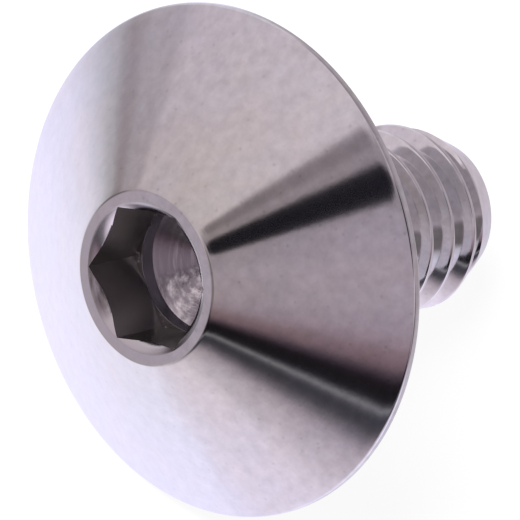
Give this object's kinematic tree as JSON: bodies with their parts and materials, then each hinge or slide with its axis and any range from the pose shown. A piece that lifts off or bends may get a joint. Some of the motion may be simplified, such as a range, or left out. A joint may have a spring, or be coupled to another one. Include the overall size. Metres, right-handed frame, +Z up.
{
  "type": "cone head socket bolt",
  "caption": "Bolt with a wide conical head, a hexagon socket and a coarse metric thread, for clamping panels and fairings without a washer.",
  "frame": {"origin": "on the surface that the bolt lies on, under the middle of its extent along X and Y", "axes": "+Z up from the surface; the bolt's axis lies in the XZ plane, with the head towards -X and upwards and the end of the thread towards +X; Y is across the head"},
  "size_m": [0.0142, 0.016, 0.0139],
  "materials": {
    "metal": "satin-polished turned metal with a fine mottle"
  },
  "bodies": {
    "root": {"bolt": "metal"}
  },
  "joints": []
}
